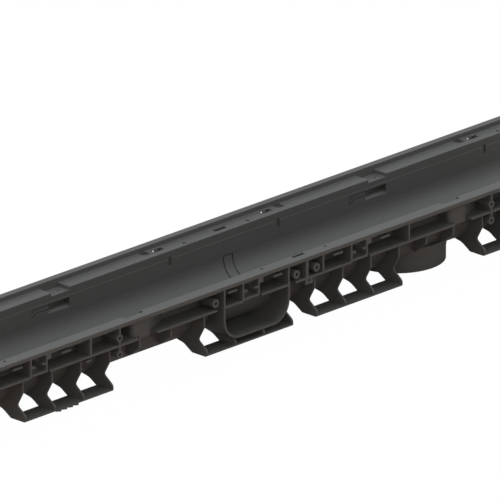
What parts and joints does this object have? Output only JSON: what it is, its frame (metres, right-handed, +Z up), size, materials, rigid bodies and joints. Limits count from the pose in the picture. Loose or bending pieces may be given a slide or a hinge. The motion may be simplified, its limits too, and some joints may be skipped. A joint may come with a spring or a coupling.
{
  "type": "drainage channel body",
  "caption": "Ribbed plastic drainage channel with a rounded trough, grate seat, side branch collars, anchoring feet and a bottom outlet spigot.",
  "frame": {"origin": "under the middle of the channel, at the height of the outlet spigot's lower end", "axes": "+X along the channel towards the outlet spigot, +Z up out of the open trough, +Y across"},
  "size_m": [1, 0.16, 0.0795],
  "materials": {
    "moulding": "fine matte, as moulded"
  },
  "bodies": {
    "root": {"channel_body": "moulding"}
  },
  "joints": []
}
